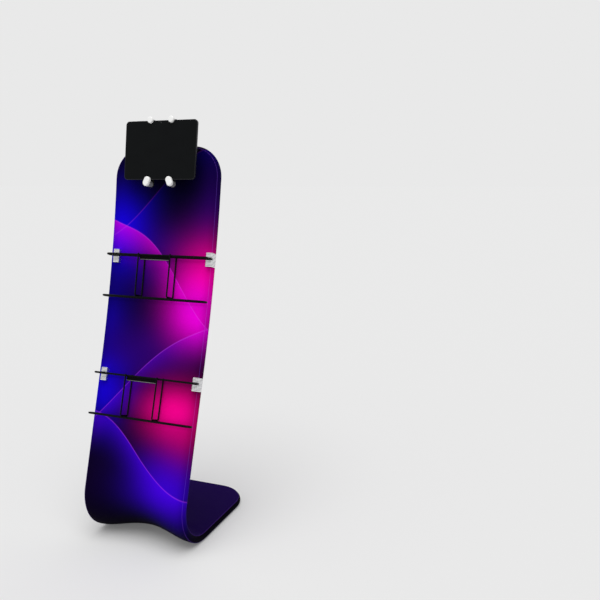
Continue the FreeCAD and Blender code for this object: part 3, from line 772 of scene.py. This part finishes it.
def addBlob(points, faces, centre, axes, radii, rings=8, sides=14):
    # closed rounded lump with its own half sizes along three axes
    first = len(points)
    points.append(centre - axes[2] * radii[2])
    for ring in range(1, rings):
        polar = math.pi * ring / rings
        for side in range(sides):
            turn = 2 * math.pi * side / sides
            offset = axes[0] * (radii[0] * math.sin(polar) * math.cos(turn))
            offset += axes[1] * (radii[1] * math.sin(polar) * math.sin(turn))
            points.append(centre + offset - axes[2] * (radii[2] * math.cos(polar)))
    points.append(centre + axes[2] * radii[2])
    last = len(points) - 1
    for side in range(sides):
        near = (side + 1) % sides
        faces.append((first, first + 1 + near, first + 1 + side))
        for ring in range(rings - 2):
            low = first + 1 + ring * sides
            faces.append((low + side, low + near, low + sides + near, low + sides + side))
        low = first + 1 + (rings - 2) * sides
        faces.append((low + side, low + near, last))


# weld beads where each hoop crosses the rings
weld = {
    "legs": (-0.054, 0.060),
    "ringFront": 0.0465,
    "ringRear": 0.0215,
    "ringWire": 0.0031,
    "bead": (0.0036, 0.0015, 0.0021),
}


def weldBeads(name):
    points, faces = [], []
    for rackRun in racks["runs"].values():
        run = rackRun - racks["halfDrop"]
        axes = panelAxes(run)
        for across in weld["legs"]:
            for ahead, way in ((weld["ringFront"], 1), (weld["ringRear"], -1)):
                upper = panelPoint(run, across, ahead + way * weld["ringWire"], racks["halfDrop"])
                lower = panelPoint(run, across, ahead, weld["ringWire"] - racks["halfDrop"])
                addBlob(points, faces, upper, axes, weld["bead"])
                addBlob(points, faces, lower, (axes[0], axes[2], axes[1]), weld["bead"])
    return meshObject(name, points, faces)


# pale lip along the lower edge of each label strip; its pale grey is a painted highlight
lip = {"rise": 0.0520, "ahead": 0.0479, "ends": (-0.0512, 0.0572), "radius": 0.0008}


def stripHighlightLips(name, sides=10):
    points, faces = [], []
    for rackRun in racks["runs"].values():
        run = rackRun - racks["halfDrop"]
        right, normal, climb = panelAxes(run)
        first = len(points)
        for across in lip["ends"]:
            centre = panelPoint(run, across, lip["ahead"], lip["rise"])
            for side in range(sides):
                turn = 2 * math.pi * side / sides
                points.append(centre + (normal * math.cos(turn) + climb * math.sin(turn)) * lip["radius"])
        for side in range(sides):
            near = (side + 1) % sides
            faces.append((first + near, first + side, first + sides + side, first + sides + near))
        faces.append(tuple(range(first, first + sides)))
        faces.append(tuple(reversed(range(first + sides, first + 2 * sides))))
    return meshObject(name, points, faces)


# dark hexagon sockets in the heads of the clips' screws: flat dark faces that paint the shade inside the
# sockets
screwSocket = {"across": (-0.15725, 0.17825), "drop": 0.014, "ahead": 0.02415, "radius": 0.0021}


def screwSockets(name):
    points, faces = [], []
    for run in racks["runs"].values():
        right, normal, climb = panelAxes(run)
        for across in screwSocket["across"]:
            centre = panelPoint(run, across, screwSocket["ahead"], -screwSocket["drop"])
            first = len(points)
            for corner in range(6):
                turn = math.pi / 3 * corner
                offset = right * math.cos(turn) + climb * math.sin(turn)
                points.append(centre + offset * screwSocket["radius"])
            faces.append(tuple(range(first, first + 6)))
    return meshObject(name, points, faces, smooth=False)


# small details of the tablet: camera, two keys on its upper side and a port on its right one
tabletDetail = {
    "size": (0.2506, 0.1741, 0.0075),
    "cameraRadius": 0.0021,
    "cameraInset": 0.0062,
    "cameraHeight": 0.0002,
    "keys": ((-0.101, 0.012), (-0.076, 0.024)),
    "keySize": (0.0007, 0.0014),
    "portSize": (0.0046, 0.0016, 0.0003),
}


def addPill(points, faces, centre, along, across, out, size, sides=20):
    # raised plate with round ends: half length and half width, then its height out of the surface
    first = len(points)
    straight = size[0] - size[1]
    for level in (0.0, size[2]):
        for side in range(sides):
            turn = 2 * math.pi * side / sides
            shift = straight if math.cos(turn) >= 0 else -straight
            offset = along * (size[1] * math.cos(turn) + shift) + across * (size[1] * math.sin(turn))
            points.append(centre + offset + out * level)
    for side in range(sides):
        near = (side + 1) % sides
        faces.append((first + side, first + near, first + sides + near, first + sides + side))
    faces.append(tuple(range(first + sides, first + 2 * sides)))
    faces.append(tuple(reversed(range(first, first + sides))))


def tabletFrame():
    low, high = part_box("tablet_case")
    centre = (low + high) / 2
    right, normal, climb = panelAxes(coverForm["straightRun"] + coverForm["bowRun"])
    return centre, right, normal, climb


def tabletCamera(name):
    centre, right, normal, climb = tabletFrame()
    size = tabletDetail["size"]
    height = tabletDetail["cameraHeight"]
    radius = tabletDetail["cameraRadius"]
    place = centre + climb * (size[1] / 2 - tabletDetail["cameraInset"]) + normal * (size[2] / 2 - height)
    points, faces = [], []
    addPill(points, faces, place, right, climb, normal, (radius, radius, height), 24)
    return meshObject(name, points, faces, smooth=False)


def tabletKeys(name):
    centre, right, normal, climb = tabletFrame()
    points, faces = [], []
    for across, length in tabletDetail["keys"]:
        place = centre + right * across + climb * (tabletDetail["size"][1] / 2)
        size = (length / 2, tabletDetail["keySize"][1], tabletDetail["keySize"][0])
        addPill(points, faces, place, right, normal, climb, size)
    place = centre + right * (tabletDetail["size"][0] / 2)
    addPill(points, faces, place, climb, normal, right, tabletDetail["portSize"])
    return meshObject(name, points, faces, smooth=False)


dress(weldBeads("weldBeads"), finishes["rack_wire"])
# the lips' pale grey is a painted highlight
dress(stripHighlightLips("stripHighlightLips"), mouldedPlastic("lipHighlightGrey", (128, 128, 130), 0.3))
dress(screwSockets("screwSockets"), finishes["holder_black"])
dress(tabletCamera("tabletCamera"), mouldedPlastic("cameraDark", (6, 7, 12), 0.15))
dress(tabletKeys("tabletKeys"), finishes["tablet_shell"])
print("details added")


# studio: uniform sky light, one soft lamp, a pale floor that keeps the shadow
studio = {
    "backdrop": (233, 233, 233),
    "skyLight": 0.46,
    "lampStrength": 1.68,
    "lampSoftness": 55.0,
    "lampFrom": (0.08, -0.26, 1.0),
    "floorReach": 300,
    "floorTone": 0.737,
    "floorLift": 0.10,
}


def addSky():
    # the camera, reflections and glass see the backdrop's colour, and the sky light does the lighting
    world = bpy.data.worlds.new("studioWorld")
    bpy.context.scene.world = world
    world.use_nodes = True
    air = Nodes(world.node_tree)
    camera, glossy, through = [
        air.node("ShaderNodeLightPath", output=kind)
        for kind in ("Is Camera Ray", "Is Glossy Ray", "Is Transmission Ray")
    ]
    seen = camera.math("MAXIMUM", glossy).math("MAXIMUM", through)
    plain = air.node("ShaderNodeBackground", {}, {"Color": linear(*studio["backdrop"])})
    sky = air.node("ShaderNodeBackground", {}, {"Color": (1, 1, 1, 1), "Strength": studio["skyLight"]})
    mixed = air.node("ShaderNodeMixShader", {}, {0: seen, 1: sky, 2: plain})
    air.tree.links.new(mixed.socket, air.tree.nodes["World Output"].inputs["Surface"])
    air.tree.nodes.remove(air.tree.nodes["Background"])


def addLamp():
    lampData = bpy.data.lights.new("softLamp", "SUN")
    lampData.energy = studio["lampStrength"]
    lampData.angle = math.radians(studio["lampSoftness"])
    lamp = bpy.data.objects.new("softLamp", lampData)
    lamp.rotation_euler = Vector(studio["lampFrom"]).to_track_quat("Z", "Y").to_euler()
    bpy.context.scene.collection.objects.link(lamp)


def addFloor():
    # the lift keeps the floor's shadow from going black
    reach = studio["floorReach"]
    corners = [(-reach, -reach, 0), (reach, -reach, 0), (reach, reach, 0), (-reach, reach, 0)]
    floor = meshObject("studioFloor", corners, [(0, 1, 2, 3)])
    tone = (studio["floorTone"],) * 3 + (1.0,)
    paint = Paint(
        "studioFloor",
        Roughness=1.0,
        Specular_IOR_Level=0.0,
        Base_Color=tone,
        Emission_Color=(1.0, 1.0, 1.0, 1.0),
        Emission_Strength=studio["floorLift"],
    )
    floor.data.materials.append(paint.material)


addSky()
addLamp()
addFloor()
bpy.context.scene.view_settings.view_transform = "Standard"
print("studio lit")
